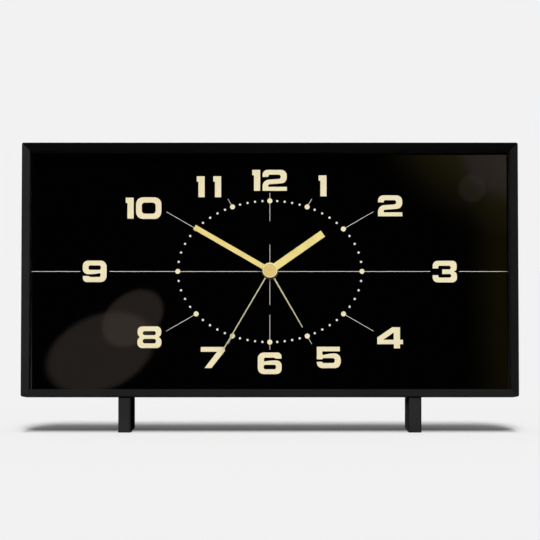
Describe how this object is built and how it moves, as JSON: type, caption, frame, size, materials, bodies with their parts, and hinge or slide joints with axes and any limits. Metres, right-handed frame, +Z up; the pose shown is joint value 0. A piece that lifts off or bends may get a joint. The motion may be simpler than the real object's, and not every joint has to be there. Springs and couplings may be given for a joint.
{
  "type": "table alarm clock",
  "caption": "Wide leaning table alarm clock with a black dial behind a flat lens, a thin sloping bezel, plate feet and a geared quartz alarm movement.",
  "frame": {"origin": "on the table, under the middle of the clock's box", "axes": "+X to the right of the dial, +Y from the dial to the back, +Z up"},
  "size_m": [0.2, 0.0462, 0.1168],
  "materials": {
    "case_plastic": "satin moulded",
    "cover_plastic": "fine moulded texture",
    "foot_plastic": "satin moulded",
    "lens_clear": "clear polished",
    "dial_black": "printed black card",
    "baton_hands": "pale yellow lacquer",
    "needle_hands": "pale beige lacquer",
    "cap_brass": "satin turned",
    "knob_plastic": "gloss moulded",
    "switch_plastic": "moulded",
    "screw_steel": "zinc plated",
    "cell_jacket": "plain printed sleeve",
    "contact_steel": "nickel plated",
    "movement_plastic": "natural moulded",
    "wheel_plastic": "natural moulded",
    "motor_steel": "stamped",
    "motor_magnet": "sintered",
    "coil_copper": "enamelled copper wire",
    "board_green": "solder mask",
    "chip_black": "moulded",
    "crystal_can": "drawn can",
    "spring_brass": "stamped sheet"
  },
  "bodies": {
    "case": {"bezel": "case_plastic", "lens": "lens_clear", "case_body": "case_plastic", "dial": "dial_black", "rear_cover": "cover_plastic", "rear_cover_screws": "screw_steel", "left_foot": "foot_plastic", "right_foot": "foot_plastic", "foot_screws": "screw_steel", "battery_cell": "cell_jacket", "battery_contact_negative": "contact_steel", "battery_contact_positive": "contact_steel", "alarm_switch_housing": "chip_black", "buzzer": "chip_black", "movement_tray": "movement_plastic", "movement_middle_plate": "movement_plastic", "movement_rear_plate": "movement_plastic", "movement_screws": "screw_steel", "stator": "motor_steel", "coil_core": "motor_steel", "coil_bobbin": "movement_plastic", "coil_winding": "coil_copper", "circuit_board": "board_green", "quartz_crystal": "crystal_can", "ic_chip": "chip_black", "alarm_contact_spring": "spring_brass"},
    "second": {"second_wheel": "wheel_plastic", "second_hand": "needle_hands", "centre_cap": "cap_brass"},
    "minute": {"minute_pipe": "wheel_plastic", "clutch_spring": "spring_brass", "minute_hand": "baton_hands"},
    "hour": {"hour_wheel": "wheel_plastic", "hour_hand": "baton_hands"},
    "alarm": {"alarm_wheel": "wheel_plastic", "alarm_hand": "needle_hands"},
    "centre_wheel": {"centre_wheel": "wheel_plastic"},
    "third_wheel": {"third_wheel": "wheel_plastic"},
    "intermediate_wheel": {"intermediate_wheel": "wheel_plastic"},
    "rotor": {"rotor_pinion": "wheel_plastic", "rotor_magnet": "motor_magnet"},
    "time_set": {"time_set_arbor": "wheel_plastic", "time_set_knob": "knob_plastic"},
    "alarm_set": {"alarm_set_arbor": "wheel_plastic", "alarm_set_knob": "knob_plastic"},
    "alarm_switch": {"alarm_switch_slider": "switch_plastic"},
    "battery_door": {"battery_door": "cover_plastic"}
  },
  "joints": [
    {"name": "second_turn", "type": "hinge", "parent": "case", "child": "second", "pos_m": [0, 0.0078, 0.06402], "axis": [0, 0.9981, -0.061], "continuous": true},
    {"name": "minute_turn", "type": "hinge", "parent": "case", "child": "minute", "pos_m": [0, 0.00061, 0.06446], "axis": [0, 0.9981, -0.061], "continuous": true},
    {"name": "hour_turn", "type": "hinge", "parent": "case", "child": "hour", "pos_m": [0, -0.00118, 0.06457], "axis": [0, 0.9981, -0.061], "continuous": true},
    {"name": "alarm_turn", "type": "hinge", "parent": "case", "child": "alarm", "pos_m": [0, -0.00278, 0.06467], "axis": [0, 0.9981, -0.061], "continuous": true},
    {"name": "centre_wheel_turn", "type": "hinge", "parent": "case", "child": "centre_wheel", "pos_m": [0, 0.00261, 0.06434], "axis": [0, 0.9981, -0.061], "continuous": true},
    {"name": "third_wheel_turn", "type": "hinge", "parent": "case", "child": "third_wheel", "pos_m": [0, 0.00666, 0.0749], "axis": [0, 0.9981, -0.061], "continuous": true},
    {"name": "intermediate_wheel_turn", "type": "hinge", "parent": "case", "child": "intermediate_wheel", "pos_m": [0, 0.00908, 0.05551], "axis": [0, 0.9981, -0.061], "continuous": true},
    {"name": "rotor_turn", "type": "hinge", "parent": "case", "child": "rotor", "pos_m": [0, 0.00872, 0.04954], "axis": [0, 0.9981, -0.061], "continuous": true},
    {"name": "time_set_turn", "type": "hinge", "parent": "case", "child": "time_set", "pos_m": [0.012, 0.00061, 0.06446], "axis": [0, 0.9981, -0.061], "continuous": true},
    {"name": "alarm_set_turn", "type": "hinge", "parent": "case", "child": "alarm_set", "pos_m": [-0.0117, -0.00278, 0.06467], "axis": [0, 0.9981, -0.061], "continuous": true},
    {"name": "alarm_switch_slide", "type": "slide", "parent": "case", "child": "alarm_switch", "axis": [1, 0, 0], "range_m": [0, 0.004]},
    {"name": "battery_door_lift", "type": "slide", "parent": "case", "child": "battery_door", "axis": [0, 0.9981, -0.061], "range_m": [0, 0.03]}
  ],
  "couplings": [
    {"joint": "intermediate_wheel_turn", "follows": "second_turn", "ratio": -6},
    {"joint": "rotor_turn", "follows": "second_turn", "ratio": 30},
    {"joint": "third_wheel_turn", "follows": "second_turn", "ratio": -0.13333},
    {"joint": "centre_wheel_turn", "follows": "second_turn", "ratio": 0.016667},
    {"joint": "time_set_turn", "follows": "minute_turn", "ratio": -0.33333},
    {"joint": "hour_turn", "follows": "minute_turn", "ratio": 0.083333},
    {"joint": "alarm_set_turn", "follows": "alarm_turn", "ratio": -3.3333}
  ]
}
